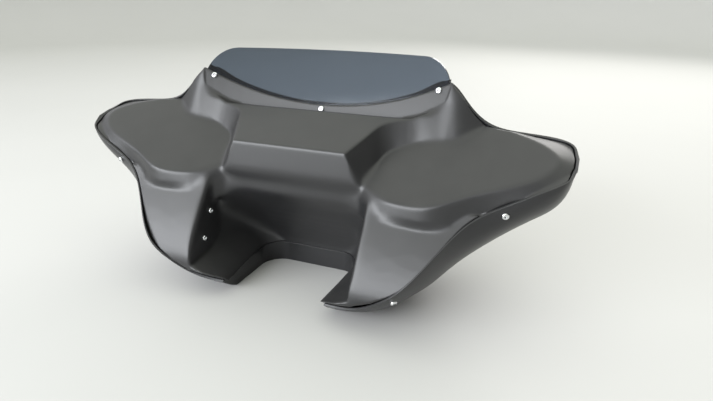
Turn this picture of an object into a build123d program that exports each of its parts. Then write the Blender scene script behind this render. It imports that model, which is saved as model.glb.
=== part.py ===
# Handlebar fairing with a smoked windshield: outer shell, inner fairing, windshield and fasteners.
# Millimetres, standing on its flat bottom: X to the right, Y forward, Z up, the rider's side to -Y.
# Both halves are alike about X = 0.
import os

from build123d import *

# Walls and fits
outer_wall = 4.0
inner_wall = 3.5
seam_gap = 1.2
sheet_gap = 0.2
rim_normal = (0.807, -0.59)
rim_reach = 150.0
rim_drop = 2.0
body_front = 112.0
far = 600.0

# Outer shell: half sections across Y and Z, from the top edge round the nose to the lower edge
# x, top edge, brow, nose, chin, belly, lower edge
outer_stations = [
    (0, (86, 305), (119, 256), (152, 160), (135, 52), (8, -14), (-128, 24)),
    (100, (83, 313), (116, 260), (149, 160), (132, 52), (0, -14), (-132, 26)),
    (150, (80, 327), (110, 270), (141, 164), (125, 58), (-30, -4), (-143, 37)),
    (195, (76, 346), (102, 284), (133, 170), (115, 66), (-45, 14), (-152, 63)),
    (228, (73, 358), (95, 292), (125, 176), (104, 80), (-52, 40), (-152, 91)),
    (250, (62, 347), (87, 287), (118, 182), (96, 92), (-52, 58), (-138, 115)),
    (270, (55, 326), (82, 278), (110, 192), (88, 104), (-48, 80), (-118, 140)),
    (300, (53, 302), (76, 266), (98, 204), (76, 124), (-42, 112), (-90, 176)),
    (345, (51, 292), (70, 261), (84, 216), (60, 152), (-28, 148), (-70, 207)),
    (390, (55, 288), (64, 262), (70, 228), (44, 181), (-20, 180), (-65, 232)),
    (422, (44, 285), (51, 264), (48, 238), (26, 207), (-17, 208), (-53, 247)),
    (433, (31, 281), (37, 267), (33, 250), (18, 231), (-14, 231), (-43, 253)),
    (440, (3, 272), (7, 267), (6, 262), (1, 256), (-10, 256), (-22, 265)),
]
tip_start = 422.0
tip_taper = 0.6

# Slot in the bottom for the fork, and the upright wall round it
slot_half = 96.0
slot_front = 30.0
slot_corner = 40.0
slot_wall_mid = 33.0
slot_wall_tilt = 4.0
slot_wall_y = -40.0

# Windshield and the strip that carries it: a bowed sheet that leans forward
shield_foot = 72.0
shield_foot_z = 297.0
shield_lean = 0.43
shield_radius = 716.0
shield_thickness = 4.5
strip_thickness = 3.5
flap_thickness = 3.5
flap_half = 233.0
flap_rise = 2.0
flap_lap = 3.0
flap_clear = 60.0
strip_low = 262.0
arc_low = 302.0
arc_high = 360.0
arc_half = 237.0
shield_half = 238.6
strip_half = 241.0
shield_top = 393.0
shield_corner = 55.0
shield_lap = 26.0

# Dash panel and console
dash_front = -60.7
dash_front_z = 259.3
dash_rise = 0.43
dash_back = 35.0
gutter = (66.0, 288.0)
console_foot = (-55.5, 190.0)
console_lip = (-63.0, 211.0)
dash_round = 4.0
console_high = 372.0
console_block_half = 150.0
console_low = 10.0
corner_edge = [(100, -55.5), (128, -60), (150, -79)]
corner_low = 150.0
corner_high = 191.0
dash_side = [
    (89, -100, 259), (104, -60, 259), (120, -18, 280), (140, 19, 294), (181, 36, 301),
    (219, 44, 316), (237, 43, 330), (254, 46, 330), (274, 56, 330), (310, 68, 330),
]
dash_draft = 0.42

# Pods: a flat panel on each side with a roll round it; x, y, flare of the roll
pod_level = 226.0
pod_rise_x = 0.135
pod_rise_y = 0.58
pod_outline = [
    (131, -54, 1.0), (163, -78, 0.95), (205, -92, 0.8), (246, -95, 0.65), (303, -77, 0.4), (362, -58, 0.9),
    (400, -40, 1.5), (413, -18, 2.0), (396, 6, 1.5), (345, 36, 0.5), (280, 66, 0.5), (200, 70, 0.5),
    (140, 40, 0.5), (124, -10, 0.5),
]
pod_depth = 40.0
pod_edge = 8.0
roll_level = 205.0
roll_rise_x = 0.015
roll_rise_y = 0.3

# Shoulders that rise from the dash to the corners of the windshield: x, height
shoulder_rows = [(160, 296), (181, 301), (219, 316), (232, 328), (240, 362), (252, 352), (270, 330), (310, 312)]
shoulder_rear = -20.0
shoulder_low = 180.0

# Lower side panels, seen along X, and the flat leaf that carries the bracket screws
lower_profile = [
    (-76, 196), (-88, 177), (-116, 137), (-142, 95), (-152, 70), (-152, 48), (-143, 31), (-128, 10),
]
leaf_half = 146.0
lower_inner = 146.0
leg_inner = 60.0
leg_top = 110.0
toe_top = 66.0
toe_front = -75.0
toe_rear = -170.0
lower_outer = 318.0
wing_first = 7
wing_depth = 60.0

# Scoop above the slot: height, front, half width there, half width at the rear, corner radius
scoop_rows = [
    (4, 30, 96, 96, 40),
    (36, 30, 96, 96, 40),
    (66, 23, 112, 172, 46),
    (108, -2, 128, 190, 62),
    (146, -34, 132, 190, 70),
    (175, -57, 134, 190, 66),
]
scoop_rear = -190.0
scoop_front_grow = 1.7

# Fasteners: M6 button heads with hexagon sockets, washers and nuts
shank_radius = 3.0
thread_radius = 2.8
hole_radius = 3.3
head_radius = 5.5
head_height = 3.3
head_round = 2.4
socket_across = 4.0
socket_depth = 2.0
nut_across = 10.0
nut_height = 5.0
thin_nut_height = 3.0
washer_radius = 6.25
washer_height = 1.2
rim_screw_length = 16.0
shield_screw_length = 16.0
bracket_screw_length = 20.0
hole_depth = 40.0
seat_reach = 80.0
tab_wall = 3.0
tab_radius = 26.0
rim_screw_spots = [(217, -142, 61), (354, -65, 198)]
rim_screw_axis = (0.35, -0.85, -0.39)
shield_screw_spots = [(-217, 344.5), (0, arc_low - 7), (217, 344.5)]
right_bracket_spots = [(-103, 85), (-81, 129)]
left_bracket_spots = [(-107, 90), (-83, 133)]


def side_plane(x):
    return Plane(origin=(x, 0, 0), x_dir=(0, 1, 0), z_dir=(1, 0, 0))


def shifted(points, amounts, closed=False):
    # Each point of an outline moved to its left, square to the outline
    moved = []
    last = len(points) - 1
    for i, (a, b) in enumerate(points):
        before = points[i - 1] if closed else points[max(i - 1, 0)]
        after = points[(i + 1) % len(points)] if closed else points[min(i + 1, last)]
        run = after[0] - before[0]
        rise = after[1] - before[1]
        length = (run**2 + rise**2) ** 0.5
        moved.append((a - amounts[i] * rise / length, b + amounts[i] * run / length))
    return moved


def outer_form(inset, reach):
    # Inside of the outer skin, with its open rear moved back by reach
    half = len(outer_stations)
    with BuildPart() as form:
        for i in range(1 - half, half):
            x, *points = outer_stations[abs(i)]
            tip = max(x - tip_start, 0) / (outer_stations[-1][0] - tip_start)
            x -= inset * tip
            points = shifted(points, [-inset * (1 - tip_taper * tip)] * len(points))
            rear = []
            if reach:
                rear = [Vector(*points[end]) - Vector(*rim_normal) * reach for end in (-1, 0)]
            with BuildSketch(side_plane(x if i > 0 else -x)):
                with BuildLine():
                    skin = Spline(*points)
                    Polyline(skin @ 1, *rear, skin @ 0)
                make_face()
        loft()
    return form.part


def slot_form(grow, tilted):
    # The slot's outline as a column, up to the sloping top of its wall or right through
    with BuildPart() as form:
        with BuildSketch(Plane.XY.offset(-far)):
            front = slot_front + grow
            half = slot_half + grow
            Polygon((-half, -far), (half, -far), (half, front), (-half, front), align=None)
            fillet(vertices().group_by(Axis.Y)[-1], slot_corner + grow)
        extrude(amount=2 * far)
        if tilted:
            level = slot_wall_mid + max(grow - outer_wall, 0)
            top = Plane((0, slot_wall_y, level)).rotated((slot_wall_tilt, 0, 0))
            split(bisect_by=top, keep=Keep.BOTTOM)
    return form.part


def bowed_sheet(rear, thickness, half, low, high):
    # A sheet parallel to the windshield, rear being its distance ahead of the strip's face
    sag = shield_radius - (shield_radius**2 - half**2) ** 0.5
    middle = shield_foot + shield_lean * (low - shield_foot_z) + rear
    with BuildPart() as form:
        with BuildSketch(Plane.XY.offset(low)):
            with BuildLine():
                bow = ThreePointArc((-half, middle - sag), (0, middle), (half, middle - sag))
                front = middle + thickness
                ahead = ThreePointArc((-half, front - sag), (0, front), (half, front - sag))
                Line(bow @ 0, ahead @ 0)
                Line(bow @ 1, ahead @ 1)
            make_face()
        extrude(amount=(high - low) * (1 + shield_lean**2) ** 0.5, dir=(0, shield_lean, 1))
    return form.part


pod_plane = Plane((0, 0, pod_level), x_dir=(1, 0, pod_rise_x), z_dir=(-pod_rise_x, -pod_rise_y, 1))
roll_plane = Plane((0, 0, roll_level), x_dir=(1, 0, roll_rise_x), z_dir=(-roll_rise_x, -roll_rise_y, 1))


def lower_form(inset):
    # Ahead of the lower side panels
    points = shifted(lower_profile, [inset] * len(lower_profile))
    with BuildPart() as form:
        with BuildSketch(side_plane(leg_inner)):
            with BuildLine():
                skin = Polyline(*points) if inset else Spline(*points)
                ahead = body_front + inset
                Polyline(skin @ 1, (ahead, points[-1][1]), (ahead, points[0][1]), skin @ 0)
            make_face()
        extrude(amount=lower_outer - leg_inner)
        with BuildSketch(Plane.XY.offset(leg_top - inset)):
            with Locations((lower_inner + inset, 0)):
                Rectangle(far, 2 * far, align=(Align.MAX, Align.CENTER))
        extrude(amount=far, mode=Mode.SUBTRACT)
        split(bisect_by=roll_plane.offset(pod_edge - inset), keep=Keep.BOTTOM)
    return form.part


def pod_form(inset):
    # Under the flat panel of each pod
    outline = []
    for x, y, flare in pod_outline:
        point = pod_plane.to_local_coords(Vector(x, y, pod_level + pod_rise_x * x + pod_rise_y * y))
        outline.append((point.X, point.Y))
    with BuildPart() as form:
        for depth in (0, pod_depth):
            grow = [inset - depth * flare for x, y, flare in pod_outline]
            with BuildSketch(pod_plane.offset(-inset - depth)):
                with BuildLine():
                    if inset:
                        Polyline(*shifted(outline, grow, closed=True), close=True)
                    else:
                        Spline(*shifted(outline, grow, closed=True), periodic=True)
                make_face()
        loft(ruled=True)
        if inset == 0:
            fillet(form.edges().group_by(Axis((0, 0, 0), pod_plane.z_dir))[-1], pod_edge)
        split(bisect_by=roll_plane.offset(inset), keep=Keep.TOP)
    return form.part


def wall_form(inset):
    # Ahead of the wall that runs from the console round the pod to the windshield, widening downward
    with BuildPart() as form:
        for level in (console_high, shoulder_low):
            edge = [(x, y) for x, y, z in dash_side]
            spread = [inset - dash_draft * (z - level) for x, y, z in dash_side]
            with BuildSketch(Plane.XY.offset(level)):
                with BuildLine():
                    side = Spline(*shifted(edge, spread))
                    ahead = body_front + inset
                    Polyline(side @ 1, ((side @ 1).X, ahead), (0, ahead), (0, (side @ 0).Y), side @ 0)
                make_face()
        loft(ruled=True)
    return form.part


def shoulder_form(inset):
    # Under the shoulder, as far as the wall
    with BuildPart() as form:
        for x, height in shoulder_rows:
            with BuildSketch(side_plane(x)):
                ahead = body_front + inset
                top = height - inset
                low = shoulder_low
                Polygon((shoulder_rear, low), (ahead, low), (ahead, top), (shoulder_rear, top), align=None)
        loft(ruled=True)
    return form.part


def console_form(inset):
    # Under the dash panel and the shoulder, behind the console face, and the block below them
    dash_back_z = dash_front_z + dash_rise * (dash_back - dash_front)
    ahead = body_front + inset
    profile = [console_foot, console_lip, (dash_front, dash_front_z), (dash_back, dash_back_z), gutter]
    profile = shifted(profile + [(ahead, gutter[1])], [-inset] * (len(profile) + 1))
    with BuildPart() as form:
        with BuildSketch(side_plane(0)):
            with BuildLine():
                skin = Polyline(*profile) if inset else FilletPolyline(*profile, radius=dash_round)
                Polyline(skin @ 1, (ahead, profile[0][1]), skin @ 0)
            make_face()
        extrude(amount=shoulder_rows[1][0])
        add(shoulder_form(inset), clean=False)
        add(wall_form(inset), mode=Mode.INTERSECT, clean=False)
        with BuildSketch(side_plane(0)):
            foot_y, foot_z = profile[0]
            Polygon((foot_y, foot_z), (ahead, foot_z), (ahead, console_low), (foot_y, console_low), align=None)
        extrude(amount=console_block_half + inset, clean=False)
        if inset == 0:
            with BuildSketch(Plane.XY.offset(corner_low)):
                Polygon(*corner_edge, (corner_edge[-1][0], 0), (corner_edge[0][0], 0), align=None)
            extrude(amount=corner_high - corner_low, clean=False)
    return form.part


def wing_form(inset):
    # Behind the rim of the wing
    drop = Vector(*rim_normal) * (rim_drop + inset)
    with BuildPart() as form:
        for x, top, *_, lower in outer_stations[wing_first:]:
            top = Vector(*top) + drop
            lower = Vector(*lower) + drop
            deep = lower - Vector(0, wing_depth)
            with BuildSketch(side_plane(x)):
                ahead = body_front + inset
                Polygon(top, lower, deep, (ahead, deep.Y), (ahead, top.Y), align=None)
        loft(ruled=True)
    return form.part


def scoop_form(grow):
    # The hollow above the slot, kept between the two flat leaves
    with BuildPart() as form:
        for level, front, front_half, rear_half, corner in scoop_rows:
            with BuildSketch(Plane.XY.offset(level)):
                half = front_half + grow
                rear = rear_half + grow
                front += scoop_front_grow * grow
                Polygon((-rear, scoop_rear), (rear, scoop_rear), (half, front), (-half, front), align=None)
                if not grow:
                    fillet(vertices().group_by(Axis.Y)[-1], corner)
        loft(ruled=grow > 0)
        with BuildSketch(Plane.XY):
            Rectangle(2 * (leaf_half + grow), 2 * far)
        extrude(amount=far, mode=Mode.INTERSECT)
    return form.part


def inner_form(inset):
    # Everything ahead of the inner fairing's face, right half
    with BuildPart() as form:
        for piece in (lower_form, console_form, pod_form, wing_form):
            add(piece(inset), clean=False)
        add(scoop_form(inset), mode=Mode.SUBTRACT, clean=False)
        ahead = bowed_sheet(strip_thickness - inset, far, shield_half, strip_low, console_high)
        add(ahead, mode=Mode.SUBTRACT, clean=False)
    return form.part


def arch(half, rise):
    # The strip's arched top edge, moved up by rise
    return ThreePointArc((-half, arc_high + rise), (0, arc_low + rise), (half, arc_high + rise))


def right_half(form):
    with BuildPart() as half:
        add(form)
        split(bisect_by=side_plane(0), keep=Keep.TOP)
    return half.part


def seat(form, spot, direction):
    # Plane on the outside of a form where a line from far out meets it
    line = Axis(Vector(*spot) + Vector(*direction) * seat_reach, -Vector(*direction))
    hits = form.find_intersection_points(line)
    point, normal = min(hits, key=lambda hit: (hit[0] - line.position).length)
    return Plane(origin=point, z_dir=normal)


def mirrored(plane):
    # The same seat on the other side
    origin = plane.origin
    normal = plane.z_dir
    return Plane(origin=(-origin.X, origin.Y, origin.Z), z_dir=(-normal.X, normal.Y, normal.Z))


def button_screw(length, free_end=0):
    # Head on the seat plane, shank below it, with the free end at the crest of its thread
    with BuildPart() as screw:
        with BuildSketch():
            Circle(head_radius)
        extrude(amount=head_height)
        fillet(screw.edges().sort_by(Axis.Z)[-1], head_round)
        with BuildSketch(Plane.XY.offset(head_height)):
            RegularPolygon(socket_across / 2, 6, major_radius=False)
        extrude(amount=-socket_depth, mode=Mode.SUBTRACT)
        with BuildSketch():
            Circle(shank_radius)
        extrude(amount=free_end - length)
        if free_end:
            with BuildSketch(Plane.XY.offset(free_end - length)):
                Circle(thread_radius)
            extrude(amount=-free_end)
    return screw.part


def hex_nut(height):
    # Lies below its plane
    with BuildPart() as nut:
        with BuildSketch():
            RegularPolygon(nut_across / 2, 6, major_radius=False)
            Circle(shank_radius + sheet_gap, mode=Mode.SUBTRACT)
        extrude(amount=-height)
    return nut.part


def flat_washer():
    with BuildPart() as washer:
        with BuildSketch():
            Circle(washer_radius)
            Circle(hole_radius, mode=Mode.SUBTRACT)
        extrude(amount=-washer_height)
    return washer.part


def group(name, piece, planes):
    # Like pieces in one node
    with BuildPart() as pieces:
        with Locations(*[plane.location for plane in planes]):
            add(piece)
    pieces.part.label = name
    export_step(pieces.part, f"parts/{name}.step")
    return pieces.part


os.makedirs("parts", exist_ok=True)

# Strip behind the windshield, under its arched edge
with BuildPart() as strip:
    add(bowed_sheet(0, strip_thickness, strip_half, strip_low, shield_top))
    with BuildSketch(Plane.XZ):
        with BuildLine():
            edge = arch(strip_half, 0)
            Polyline(edge @ 1, (strip_half, strip_low), (-strip_half, strip_low), edge @ 0)
        make_face()
    extrude(amount=far / 2, both=True, mode=Mode.INTERSECT)

# Seats of the screws
outside = outer_form(0, 0)
right_rim_seats = [seat(outside, spot, rim_screw_axis) for spot in rim_screw_spots]
rim_seats = right_rim_seats + [mirrored(plane) for plane in right_rim_seats]
shield_seats = [seat(strip.part, (x, 0, z), (0, -1, 0)) for x, z in shield_screw_spots]
right_bracket_seats = [Plane((leaf_half, y, z), z_dir=(-1, 0, 0)) for y, z in right_bracket_spots]
left_bracket_seats = [Plane((-leaf_half, y, z), z_dir=(1, 0, 0)) for y, z in left_bracket_spots]
bracket_seats = right_bracket_seats + left_bracket_seats

# Tabs of the inner fairing behind the rim screws, and the room inside it
with BuildPart() as tab_room:
    for plane in right_rim_seats:
        with BuildSketch(plane):
            Circle(tab_radius)
        extrude(amount=-tab_radius)
    add(outer_form(outer_wall + seam_gap + tab_wall, rim_reach), mode=Mode.SUBTRACT, clean=False)
with BuildPart() as inner_room:
    add(inner_form(inner_wall))
    add(tab_room.part, mode=Mode.SUBTRACT, clean=False)
    with BuildSketch(side_plane(slot_half)):
        Polygon((toe_rear, 0), (toe_front, 0), (toe_front, toe_top), (toe_rear, toe_top), align=None)
    extrude(amount=leaf_half + inner_wall - slot_half, mode=Mode.SUBTRACT, clean=False)

# Inner fairing: pods, dash, console, scoop and lower side panels in one moulding
with BuildPart() as inner_half:
    add(inner_form(0))
    add(right_half(outer_form(outer_wall + seam_gap, rim_reach)), mode=Mode.INTERSECT, clean=False)
    add(slot_form(outer_wall + sheet_gap, True), mode=Mode.SUBTRACT, clean=False)
    add(inner_room.part, mode=Mode.SUBTRACT, clean=False)
    add(right_half(strip.part), clean=False)
with BuildPart() as inner_fairing:
    add(inner_half.part.solids().sort_by(SortBy.VOLUME)[-1])
    mirror(about=Plane.YZ)
    with Locations(*[plane.location for plane in rim_seats + shield_seats + bracket_seats]):
        Hole(hole_radius, depth=hole_depth)
inner_fairing.part.label = "inner_fairing"
export_step(inner_fairing.part, "parts/inner_fairing.step")

# Windshield: a bowed sheet with round upper corners, lapped behind the strip
with BuildPart() as windshield:
    add(bowed_sheet(strip_thickness + sheet_gap, shield_thickness, arc_half, strip_low, shield_top + shield_lap))
    with BuildSketch(Plane.XZ):
        with BuildLine():
            edge = arch(arc_half, -shield_lap)
            Polyline(edge @ 1, (arc_half, shield_top), (-arc_half, shield_top), edge @ 0)
        make_face()
        fillet(vertices().group_by(Axis.Y)[-1], shield_corner)
    extrude(amount=far / 2, both=True, mode=Mode.INTERSECT)
    with Locations(*[plane.location for plane in shield_seats]):
        Hole(hole_radius, depth=hole_depth)
windshield.part.label = "windshield"
export_step(windshield.part, "parts/windshield.step")

# Flap of the outer shell that the windshield is screwed against
flap_rear = strip_thickness + shield_thickness + 2 * sheet_gap
with BuildPart() as flap:
    add(bowed_sheet(flap_rear, flap_thickness, flap_half, strip_low, shield_top))
    with BuildSketch(Plane.XZ):
        with BuildLine():
            upper = arch(flap_half, flap_rise)
            lower = arch(flap_half, -shield_lap - flap_lap)
            Line(upper @ 0, lower @ 0)
            Line(upper @ 1, lower @ 1)
        make_face()
    extrude(amount=far / 2, both=True, mode=Mode.INTERSECT)

# Room inside the outer shell, down to its floor and the wall of the slot
with BuildPart() as cavity:
    add(outer_form(outer_wall, rim_reach))
    with BuildSketch(Plane.XY.offset(outer_wall)):
        Rectangle(2 * far, 2 * far)
    extrude(amount=-far, mode=Mode.SUBTRACT, clean=False)
    add(slot_form(outer_wall, True), mode=Mode.SUBTRACT, clean=False)

# Outer shell: nose, wings and flat bottom in one moulding
with BuildPart() as outer_shell:
    add(outside)
    add(slot_form(0, False), mode=Mode.SUBTRACT, clean=False)
    with BuildSketch():
        Rectangle(2 * far, 2 * far)
    extrude(amount=-far, mode=Mode.SUBTRACT, clean=False)
    add(cavity.part, mode=Mode.SUBTRACT, clean=False)
    behind = bowed_sheet(flap_rear - flap_clear, flap_clear, shield_half, strip_low, shield_top)
    add(behind, mode=Mode.SUBTRACT, clean=False)
    add(flap.part, clean=False)
    with Locations(*[plane.location for plane in rim_seats + shield_seats]):
        Hole(hole_radius, depth=hole_depth)
outer_shell.part.label = "outer_shell"
export_step(outer_shell.part, "parts/outer_shell.step")

# Screws with their washers and nuts
rim_stack = outer_wall + seam_gap + tab_wall + 2 * sheet_gap
shield_stack = (flap_rear + flap_thickness) / (1 + shield_lean**2) ** 0.5 + sheet_gap
washer_stack = inner_wall + sheet_gap
nut_stack = washer_stack + washer_height + sheet_gap
group("rim_screws", button_screw(rim_screw_length), [plane.offset(sheet_gap) for plane in rim_seats])
group("rim_nuts", hex_nut(nut_height), [plane.offset(-rim_stack) for plane in rim_seats])
shield_screw = button_screw(shield_screw_length)
group("windshield_screws", shield_screw, [plane.offset(sheet_gap) for plane in shield_seats])
group("windshield_nuts", hex_nut(thin_nut_height), [plane.offset(-shield_stack) for plane in shield_seats])
bracket_free_end = bracket_screw_length - nut_stack - nut_height - 2 * sheet_gap
bracket_screw = button_screw(bracket_screw_length, bracket_free_end)
group("bracket_screws", bracket_screw, [plane.offset(sheet_gap) for plane in bracket_seats])
group("bracket_washers", flat_washer(), [plane.offset(-washer_stack) for plane in bracket_seats])
group("bracket_nuts", hex_nut(nut_height), [plane.offset(-nut_stack) for plane in bracket_seats])
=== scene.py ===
import bmesh
import bpy
import numpy as np
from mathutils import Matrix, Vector
from mathutils.bvhtree import BVHTree


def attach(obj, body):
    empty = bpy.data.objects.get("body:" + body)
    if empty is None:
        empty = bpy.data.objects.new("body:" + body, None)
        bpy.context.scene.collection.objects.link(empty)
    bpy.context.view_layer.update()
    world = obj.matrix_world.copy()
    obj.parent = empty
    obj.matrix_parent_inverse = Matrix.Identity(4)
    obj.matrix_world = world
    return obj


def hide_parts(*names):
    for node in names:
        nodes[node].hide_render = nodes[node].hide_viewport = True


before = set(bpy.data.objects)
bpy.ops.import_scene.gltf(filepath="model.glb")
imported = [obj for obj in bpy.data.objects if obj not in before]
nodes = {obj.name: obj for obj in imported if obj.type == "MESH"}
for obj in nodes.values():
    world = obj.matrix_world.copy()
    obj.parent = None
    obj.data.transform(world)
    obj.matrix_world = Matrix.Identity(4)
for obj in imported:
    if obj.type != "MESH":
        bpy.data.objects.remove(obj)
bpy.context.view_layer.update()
print("fairing loaded:", sorted(nodes))


# helpers for node trees
def newGroup(name, inputs, outputs):
    tree = bpy.data.node_groups.new(name, "ShaderNodeTree")
    for label, value in inputs.items():
        socket = tree.interface.new_socket(label, in_out="INPUT", socket_type="NodeSocketFloat")
        socket.default_value = value
    for label in outputs:
        tree.interface.new_socket(label, in_out="OUTPUT", socket_type="NodeSocketFloat")
    start = tree.nodes.new("NodeGroupInput")
    end = tree.nodes.new("NodeGroupOutput")
    return tree, start, end


def feed(tree, socket, value):
    if isinstance(value, (int, float, tuple)):
        socket.default_value = value
    else:
        tree.links.new(value, socket)


def mathNode(tree, operation, *values):
    node = tree.nodes.new("ShaderNodeMath")
    node.operation = operation
    for socket, value in zip(node.inputs, values):
        feed(tree, socket, value)
    return node.outputs[0]


def noiseNode(tree, coordinate, scale, detail):
    node = tree.nodes.new("ShaderNodeTexNoise")
    feed(tree, node.inputs["Vector"], coordinate)
    feed(tree, node.inputs["Scale"], scale)
    feed(tree, node.inputs["Detail"], detail)
    return node.outputs["Fac"]


def mixColour(tree, factor, first, second):
    node = tree.nodes.new("ShaderNodeMix")
    node.data_type = "RGBA"
    for place, value in ((0, factor), (6, first), (7, second)):     # the colour sockets
        feed(tree, node.inputs[place], value)
    return node.outputs[2]


def placeGroup(tree, group, **values):
    node = tree.nodes.new("ShaderNodeGroup")
    node.node_tree = group
    for label, value in values.items():
        node.inputs[label.replace("_", " ")].default_value = value
    return node


def newMaterial(name):
    material = bpy.data.materials.new(name)
    material.use_nodes = True
    return material, material.node_tree, material.node_tree.nodes["Principled BSDF"]


# fine grain and a broad, faint flow of tone
def mouldedGrain():
    tree, start, end = newGroup("mouldedGrain", {"Grain Scale": 900.0, "Flow Scale": 9.0}, ["Grain", "Flow"])
    place = tree.nodes.new("ShaderNodeTexCoord").outputs["Object"]
    grain = noiseNode(tree, place, start.outputs["Grain Scale"], 2.0)
    flow = noiseNode(tree, place, start.outputs["Flow Scale"], 4.0)
    tree.links.new(grain, end.inputs["Grain"])
    tree.links.new(flow, end.inputs["Flow"])
    return tree


# patchy dust on what faces up
def settledDust():
    tree, start, end = newGroup("settledDust", {"Amount": 0.1, "Patch Scale": 30.0}, ["Dust"])
    geometry = tree.nodes.new("ShaderNodeNewGeometry")
    split = tree.nodes.new("ShaderNodeSeparateXYZ")
    tree.links.new(geometry.outputs["Normal"], split.inputs[0])
    up = mathNode(tree, "MAXIMUM", split.outputs["Z"], 0.0)
    place = tree.nodes.new("ShaderNodeTexCoord").outputs["Object"]
    patch = noiseNode(tree, place, start.outputs["Patch Scale"], 6.0)
    dust = mathNode(tree, "MULTIPLY", up, patch)
    dust = mathNode(tree, "MULTIPLY", dust, start.outputs["Amount"])
    tree.links.new(dust, end.inputs["Dust"])
    return tree


grainGroup = mouldedGrain()
dustGroup = settledDust()


def grainOf(tree, look):
    return placeGroup(tree, grainGroup, Grain_Scale=look["grainScale"], Flow_Scale=look["flowScale"])


shellLook = {
    "outer": {
        "dark": (0.010, 0.010, 0.011, 1),
        "light": (0.014, 0.014, 0.015, 1),
        "rough": 0.34,
        "bevelled": True,
    },
    "inner": {
        "dark": (0.013, 0.013, 0.0138, 1),
        "light": (0.018, 0.018, 0.0188, 1),
        "rough": 0.36,
        "bevelled": False,
    },
    "grainScale": 1400.0, "grainHeight": 0.00002, "grainStrength": 0.25,
    "flowScale": 8.0, "roughSpread": 0.10,
    "dust": (0.16, 0.155, 0.145, 1), "dustAmount": 0.10, "dustPatch": 26.0, "dustRough": 0.8,
    "softEdge": 0.0016,     # edges of the outer shell only, the inner skin has real ones
    "bend": 1.5,
}


def satinPlastic(name, look):
    material, tree, shader = newMaterial(name)
    marks = grainOf(tree, shellLook)
    dust = placeGroup(tree, dustGroup, Amount=shellLook["dustAmount"], Patch_Scale=shellLook["dustPatch"])
    body = mixColour(tree, marks.outputs["Flow"], look["dark"], look["light"])
    body = mixColour(tree, dust.outputs["Dust"], body, shellLook["dust"])
    tree.links.new(body, shader.inputs["Base Color"])
    spread = shellLook["roughSpread"]
    rough = mathNode(tree, "MULTIPLY_ADD", marks.outputs["Flow"], spread, look["rough"] - spread / 2)
    rough = mathNode(tree, "MULTIPLY_ADD", dust.outputs["Dust"], shellLook["dustRough"], rough)
    tree.links.new(rough, shader.inputs["Roughness"])
    bump = tree.nodes.new("ShaderNodeBump")
    bump.inputs["Strength"].default_value = shellLook["grainStrength"]
    bump.inputs["Distance"].default_value = shellLook["grainHeight"]
    tree.links.new(marks.outputs["Grain"], bump.inputs["Height"])
    if look["bevelled"]:
        bevel = tree.nodes.new("ShaderNodeBevel")
        bevel.samples = 4
        bevel.inputs["Radius"].default_value = shellLook["softEdge"]
        tree.links.new(bevel.outputs["Normal"], bump.inputs["Normal"])
    tree.links.new(bump.outputs["Normal"], shader.inputs["Normal"])
    shader.inputs["IOR"].default_value = shellLook["bend"]
    return material


screenLook = {
    "tint": (0.125, 0.155, 0.20, 1), "deep": (0.11, 0.138, 0.18, 1), "flowScale": 5.0,
    "rough": 0.06, "roughSpread": 0.05, "grainScale": 60.0,
    "bend": 1.35,       # low, for soft reflections
}


def smokedAcrylic(name, look):
    material, tree, shader = newMaterial(name)
    marks = grainOf(tree, look)
    tint = mixColour(tree, marks.outputs["Flow"], look["tint"], look["deep"])
    tree.links.new(tint, shader.inputs["Base Color"])
    rough = mathNode(tree, "MULTIPLY_ADD", marks.outputs["Grain"], look["roughSpread"], look["rough"])
    tree.links.new(rough, shader.inputs["Roughness"])
    shader.inputs["Transmission Weight"].default_value = 1.0
    shader.inputs["IOR"].default_value = look["bend"]
    return material


screwLook = {
    "chrome": {"light": (0.86, 0.87, 0.88, 1), "dark": (0.66, 0.67, 0.69, 1), "rough": 0.10},
    "zinc": {"light": (0.66, 0.66, 0.63, 1), "dark": (0.46, 0.46, 0.44, 1), "rough": 0.34},
    "grainScale": 2600.0, "flowScale": 420.0, "roughSpread": 0.12,
}


def platedMetal(name, look):
    material, tree, shader = newMaterial(name)
    marks = grainOf(tree, screwLook)
    body = mixColour(tree, marks.outputs["Flow"], look["dark"], look["light"])
    tree.links.new(body, shader.inputs["Base Color"])
    rough = mathNode(tree, "MULTIPLY_ADD", marks.outputs["Grain"], screwLook["roughSpread"], look["rough"])
    tree.links.new(rough, shader.inputs["Roughness"])
    shader.inputs["Metallic"].default_value = 1.0
    return material


finishes = {
    "outer_shell": satinPlastic("outerPlastic", shellLook["outer"]),
    "inner_fairing": satinPlastic("innerPlastic", shellLook["inner"]),
    "windshield": smokedAcrylic("smokedAcrylic", screenLook),
}
chrome = platedMetal("screwChrome", screwLook["chrome"])
zinc = platedMetal("zincPlate", screwLook["zinc"])
for name in nodes:
    if name.endswith("_screws"):
        finishes[name] = chrome
    elif name.endswith(("_nuts", "_washers")):
        finishes[name] = zinc
for name, finish in finishes.items():
    mesh = nodes[name].data
    mesh.materials.clear()
    mesh.materials.append(finish)
print("finishes on", len(finishes), "nodes")


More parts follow.
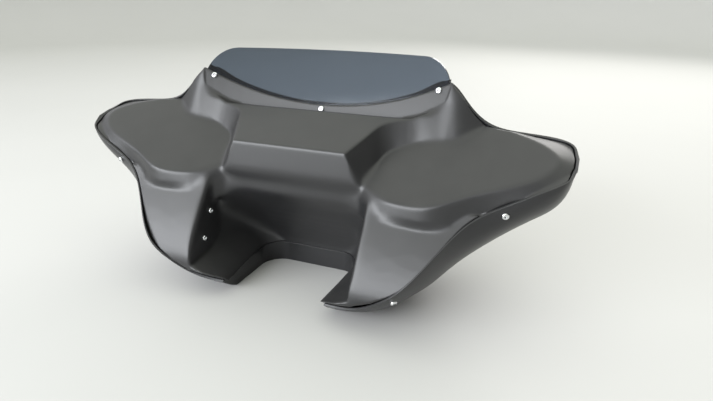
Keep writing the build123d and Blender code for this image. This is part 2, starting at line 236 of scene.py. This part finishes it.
# the moulding's edges are soft and its bay flows out of the console, so a softened copy is shown
skinLook = {
    "voxel": 0.00125,
    "stayNear": (0.003, 0.012),     # stays as it is where another piece is this near
    "pull": 0.5,
    "leastWeight": 0.01,
    "firstRounds": 6,
    "edgeRounds": 26,
    "flow": [       # boxes on both sides where one form runs into the next
        {"low": (0.0, -0.20, 0.10), "high": (0.155, -0.03, 0.215), "fade": 0.03, "rounds": 230},
        {"low": (0.218, 0.0, 0.235), "high": (0.272, 0.10, 0.345), "fade": 0.025, "rounds": 170},
        {"low": (0.142, -0.165, 0.06), "high": (0.165, -0.10, 0.185), "fade": 0.014, "rounds": 80},
    ],
    "roll": {       # the band under the rolled pod edges
        "level": 0.203, "riseX": 0.015, "riseY": 0.3, "from": 0.15, "fade": 0.02, "half": 0.018, "rounds": 60,
    },
    "rollFill": {
        "from": 0.148, "to": 0.345, "step": 0.004,          # across each side
        "low": 0.15, "high": 0.226, "rise": 0.001,          # up the front
        "reach": 14,                                        # rises from the roll down to the panel
        "leastStep": 0.0015, "mostStep": 0.05,
        "rollSink": 0.0008, "notchSink": 0.004, "panelSink": 0.0015, "lift": 0.002,
    },
    "backing": {
        "boxes": [
            ((0.10, -0.13, 0.02), (0.1475, 0.02, 0.115)),       # sides of the bay
            ((0.15, -0.17, 0.04), (0.30, -0.09, 0.17)),         # lower panels
        ],
        "facingUp": 0.3,
        "depth": 0.0026,
    },
    "mostTriangles": 180000,
    "shortest": 0.0004,     # shorter edges close up
}


def bake(piece):
    bpy.context.view_layer.update()
    shape = bpy.data.meshes.new_from_object(piece.evaluated_get(bpy.context.evaluated_depsgraph_get()))
    piece.modifiers.clear()
    piece.vertex_groups.clear()
    piece.data = shape


def otherPieces(name):
    points, faces = [], []
    for other, node in nodes.items():
        if other == name:
            continue
        start = len(points)
        points += [tuple(vertex.co) for vertex in node.data.vertices]
        faces += [tuple(start + corner for corner in face.vertices) for face in node.data.polygons]
    return BVHTree.FromPolygons(points, faces)


def addPrism(points, faces, near, far):
    start, count = len(points), len(near)
    points += [tuple(point) for point in near] + [tuple(point) for point in far]
    faces.append(tuple(range(start, start + count)))
    faces.append(tuple(range(start + count, start + 2 * count)))
    for place in range(count):
        after = (place + 1) % count
        faces.append((start + place, start + after, start + count + after, start + count + place))


# soft ground under the rolled pod edges, so that no notch is left there
def fillRolls(points, faces, surface):
    fill = skinLook["rollFill"]
    heights = np.arange(fill["low"], fill["high"], fill["rise"])
    ahead, missed = -0.5, 9.0       # rays start well ahead of the part
    for side in (-1, 1):
        last = None
        for x in np.arange(fill["from"], fill["to"], fill["step"]) * side:
            hits = [surface.ray_cast(Vector((x, ahead, z)), Vector((0, 1, 0)))[0] for z in heights]
            depths = np.array([missed if hit is None else hit.y for hit in hits])
            steps = depths[:-1] - depths[1:]
            at = int(np.argmax(np.where(steps < fill["mostStep"], steps, 0)))
            down = max(at - fill["reach"], 0)
            if steps[at] < fill["leastStep"] or depths[down] == missed:
                last = None
                continue
            outline = [
                Vector((x, depths[at + 1] + fill["rollSink"], heights[at + 1] + fill["lift"])),
                Vector((x, depths[at] + fill["notchSink"], heights[at] + fill["lift"])),
                Vector((x, depths[down] + fill["panelSink"], heights[down])),
            ]
            if last:
                addPrism(points, faces, last, outline)
            last = outline


# backs thin walls, so that the even mesh keeps them
def backWalls(points, faces, mesh):
    backing = skinLook["backing"]
    for face in mesh.polygons:
        middle, facing = face.center, face.normal
        spot = (abs(middle.x), middle.y, middle.z)
        inside = any(
            all(low[axis] < spot[axis] < high[axis] for axis in range(3)) for low, high in backing["boxes"]
        )
        if inside and (facing.x * middle.x < 0 or facing.z > backing["facingUp"]):
            near = [mesh.vertices[corner].co for corner in face.vertices]
            addPrism(points, faces, near, [point - facing * backing["depth"] for point in near])


def skinGround(name):
    mesh = nodes[name].data
    points = [tuple(vertex.co) for vertex in mesh.vertices]
    faces = [tuple(face.vertices) for face in mesh.polygons]
    surface = BVHTree.FromPolygons(points, faces)
    fillRolls(points, faces, surface)
    backWalls(points, faces, mesh)
    ground = bpy.data.meshes.new("innerSkin")
    ground.from_pydata(points, [], faces)
    return ground


def ease(values, low, high):
    share = np.clip((values - low) / (high - low), 0, 1)
    return share * share * (3 - 2 * share)


def pointsOf(piece):
    points = np.empty(len(piece.data.vertices) * 3, np.float32)
    piece.data.vertices.foreach_get("co", points)
    return points.reshape(-1, 3)


def relax(piece, rounds, weights=None):
    smooth = piece.modifiers.new("relax", "SMOOTH")
    smooth.factor = skinLook["pull"]
    smooth.iterations = rounds
    if weights is not None:
        group = piece.vertex_groups.new(name="relax")
        for place in np.flatnonzero(weights > skinLook["leastWeight"]):
            group.add([int(place)], float(weights[place]), "REPLACE")
        smooth.vertex_group = group.name
    bake(piece)


# how far each point may move: none beside another piece, all of it further off
def freedom(points, others):
    near, far = skinLook["stayNear"]
    gaps = np.array([others.find_nearest(point, far)[3] or far for point in points.tolist()])
    return ease(gaps, near, far)


# closes up slivers, and lets the larger faces set the shading
def evenShading(piece):
    even = bmesh.new()
    even.from_mesh(piece.data)
    bmesh.ops.dissolve_degenerate(even, dist=skinLook["shortest"], edges=even.edges[:])
    even.to_mesh(piece.data)
    even.free()
    piece.data.shade_smooth()
    weigh = piece.modifiers.new("weigh", "WEIGHTED_NORMAL")
    weigh.mode = "FACE_AREA"
    weigh.weight = 50
    bake(piece)


def softSkin(name):
    skin = bpy.data.objects.new("innerSkin", skinGround(name))
    bpy.context.scene.collection.objects.link(skin)
    even = skin.modifiers.new("even", "REMESH")
    even.mode = "VOXEL"
    even.voxel_size = skinLook["voxel"]
    bake(skin)
    relax(skin, skinLook["firstRounds"])

    points = pointsOf(skin)
    free = freedom(points, otherPieces(name))
    folded = np.abs(points * (1, 0, 0)) + points * (0, 1, 1)        # both sides on one
    for flow in skinLook["flow"]:
        low, high = np.array(flow["low"]), np.array(flow["high"])
        away = np.linalg.norm(np.maximum(np.maximum(low - folded, folded - high), 0), axis=1)
        relax(skin, flow["rounds"], (1 - ease(away, 0, flow["fade"])) * free)
    roll = skinLook["roll"]
    sideX = folded[:, 0]
    rollGap = np.abs(points[:, 2] - roll["level"] - roll["riseX"] * sideX - roll["riseY"] * points[:, 1])
    under = (1 - ease(rollGap, 0, roll["half"])) * ease(sideX, roll["from"], roll["from"] + roll["fade"])
    relax(skin, roll["rounds"], under * free)
    relax(skin, skinLook["edgeRounds"], free)

    count = sum(len(face.vertices) - 2 for face in skin.data.polygons)
    thin = skin.modifiers.new("thin", "DECIMATE")
    thin.ratio = min(1.0, skinLook["mostTriangles"] / count)
    bake(skin)
    evenShading(skin)
    skin.data.materials.clear()
    skin.data.materials.append(finishes[name])
    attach(skin, "root")
    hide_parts(name)
    print("softened", name, "from", count, "triangles to", len(skin.data.polygons), "faces")


softSkin("inner_fairing")

# pale floor that turns up softly far away, so there is no hard line behind the part
floorLook = {
    "flat": 5.0, "turn": 1.6, "turnSteps": 8, "around": 96,
    "pale": (0.52, 0.516, 0.508, 1), "shade": (0.49, 0.486, 0.478, 1), "flowScale": 1.3, "rough": 0.55,
}


def paleFloor():
    flat, turn, around = floorLook["flat"], floorLook["turn"], floorLook["around"]
    corners = [(0.0, 0.0, 0.0)]
    for lean in np.linspace(0, np.pi / 2, floorLook["turnSteps"] + 1):
        radius, height = flat + turn * np.sin(lean), turn * (1 - np.cos(lean))
        for angle in np.arange(around) * 2 * np.pi / around:
            corners.append((radius * np.cos(angle), radius * np.sin(angle), height))
    faces = [(0, 1 + place, 1 + (place + 1) % around) for place in range(around)]
    for ring in range(floorLook["turnSteps"]):
        low = 1 + ring * around
        for place in range(around):
            after = (place + 1) % around
            faces.append((low + place, low + around + place, low + around + after, low + after))
    mesh = bpy.data.meshes.new("studioFloor")
    mesh.from_pydata(corners, [], faces)
    mesh.shade_smooth()
    floor = bpy.data.objects.new("studioFloor", mesh)
    bpy.context.scene.collection.objects.link(floor)
    material, tree, shader = newMaterial("floorPaint")
    marks = placeGroup(tree, grainGroup, Flow_Scale=floorLook["flowScale"])
    body = mixColour(tree, marks.outputs["Flow"], floorLook["shade"], floorLook["pale"])
    tree.links.new(body, shader.inputs["Base Color"])
    shader.inputs["Roughness"].default_value = floorLook["rough"]
    mesh.materials.append(material)


paleFloor()
print("floor laid")

# soft studio light: a wide window ahead on the left, a soft light behind, a room that darkens to the right
studioLook = {
    "leftRoom": (1.25, 1.26, 1.30, 1), "rightRoom": (0.13, 0.13, 0.128, 1), "darkens": (-0.4, 0.5),
    "roof": (1.42, 1.47, 1.34, 1), "roofStarts": (0.45, 0.85),
    "strength": 1.0,
    "window": {"from": (-1.75, -3.1, 1.15), "size": (3.6, 2.2), "watts": 250.0, "colour": (0.93, 0.96, 1.0)},
    "back": {"from": (0.9, 3.4, 1.9), "size": (3.0, 1.4), "watts": 60.0, "colour": (1.0, 0.98, 0.95)},
    "aim": (0.0, -0.03, 0.18),
}


def fadeNode(tree, value, ends):
    node = tree.nodes.new("ShaderNodeMapRange")
    node.interpolation_type = "SMOOTHSTEP"
    node.inputs["From Min"].default_value, node.inputs["From Max"].default_value = ends
    tree.links.new(value, node.inputs["Value"])
    return node.outputs["Result"]


def studioWorld():
    world = bpy.data.worlds.new("studioWorld")
    bpy.context.scene.world = world
    world.use_nodes = True
    tree = world.node_tree
    split = tree.nodes.new("ShaderNodeSeparateXYZ")
    tree.links.new(tree.nodes.new("ShaderNodeTexCoord").outputs["Generated"], split.inputs[0])
    across = fadeNode(tree, split.outputs["X"], studioLook["darkens"])
    upward = fadeNode(tree, split.outputs["Z"], studioLook["roofStarts"])
    room = mixColour(tree, across, studioLook["leftRoom"], studioLook["rightRoom"])
    colour = mixColour(tree, upward, room, studioLook["roof"])
    tree.links.new(colour, tree.nodes["Background"].inputs["Color"])
    tree.nodes["Background"].inputs["Strength"].default_value = studioLook["strength"]


def softLight(name, look):
    light = bpy.data.lights.new(name, "AREA")
    light.shape = "RECTANGLE"
    light.size, light.size_y = look["size"]
    light.energy = look["watts"]
    light.color = look["colour"]
    lamp = bpy.data.objects.new(name, light)
    lamp.location = look["from"]
    lamp.rotation_euler = (Vector(studioLook["aim"]) - lamp.location).to_track_quat("-Z", "Y").to_euler()
    lamp.visible_camera = False
    bpy.context.scene.collection.objects.link(lamp)


studioWorld()
softLight("windowLight", studioLook["window"])
softLight("backLight", studioLook["back"])
bpy.context.scene.view_settings.view_transform = "Standard"
print("studio lit")

# camera where the picture was taken from
cameraLook = {
    "from": (0.4348, -0.8026, 0.4987), "along": (-0.3603, 0.859, -0.364),
    "lens": 27.52, "sensor": 36.0, "nearest": 0.01,
}


def studioCamera():
    camera = bpy.data.cameras.new("studioCamera")
    camera.lens = cameraLook["lens"]
    camera.sensor_width = cameraLook["sensor"]
    camera.clip_start = cameraLook["nearest"]
    eye = bpy.data.objects.new("studioCamera", camera)
    eye.location = cameraLook["from"]
    eye.rotation_euler = Vector(cameraLook["along"]).to_track_quat("-Z", "Y").to_euler()
    bpy.context.scene.collection.objects.link(eye)
    bpy.context.scene.camera = eye


studioCamera()
print("camera set")
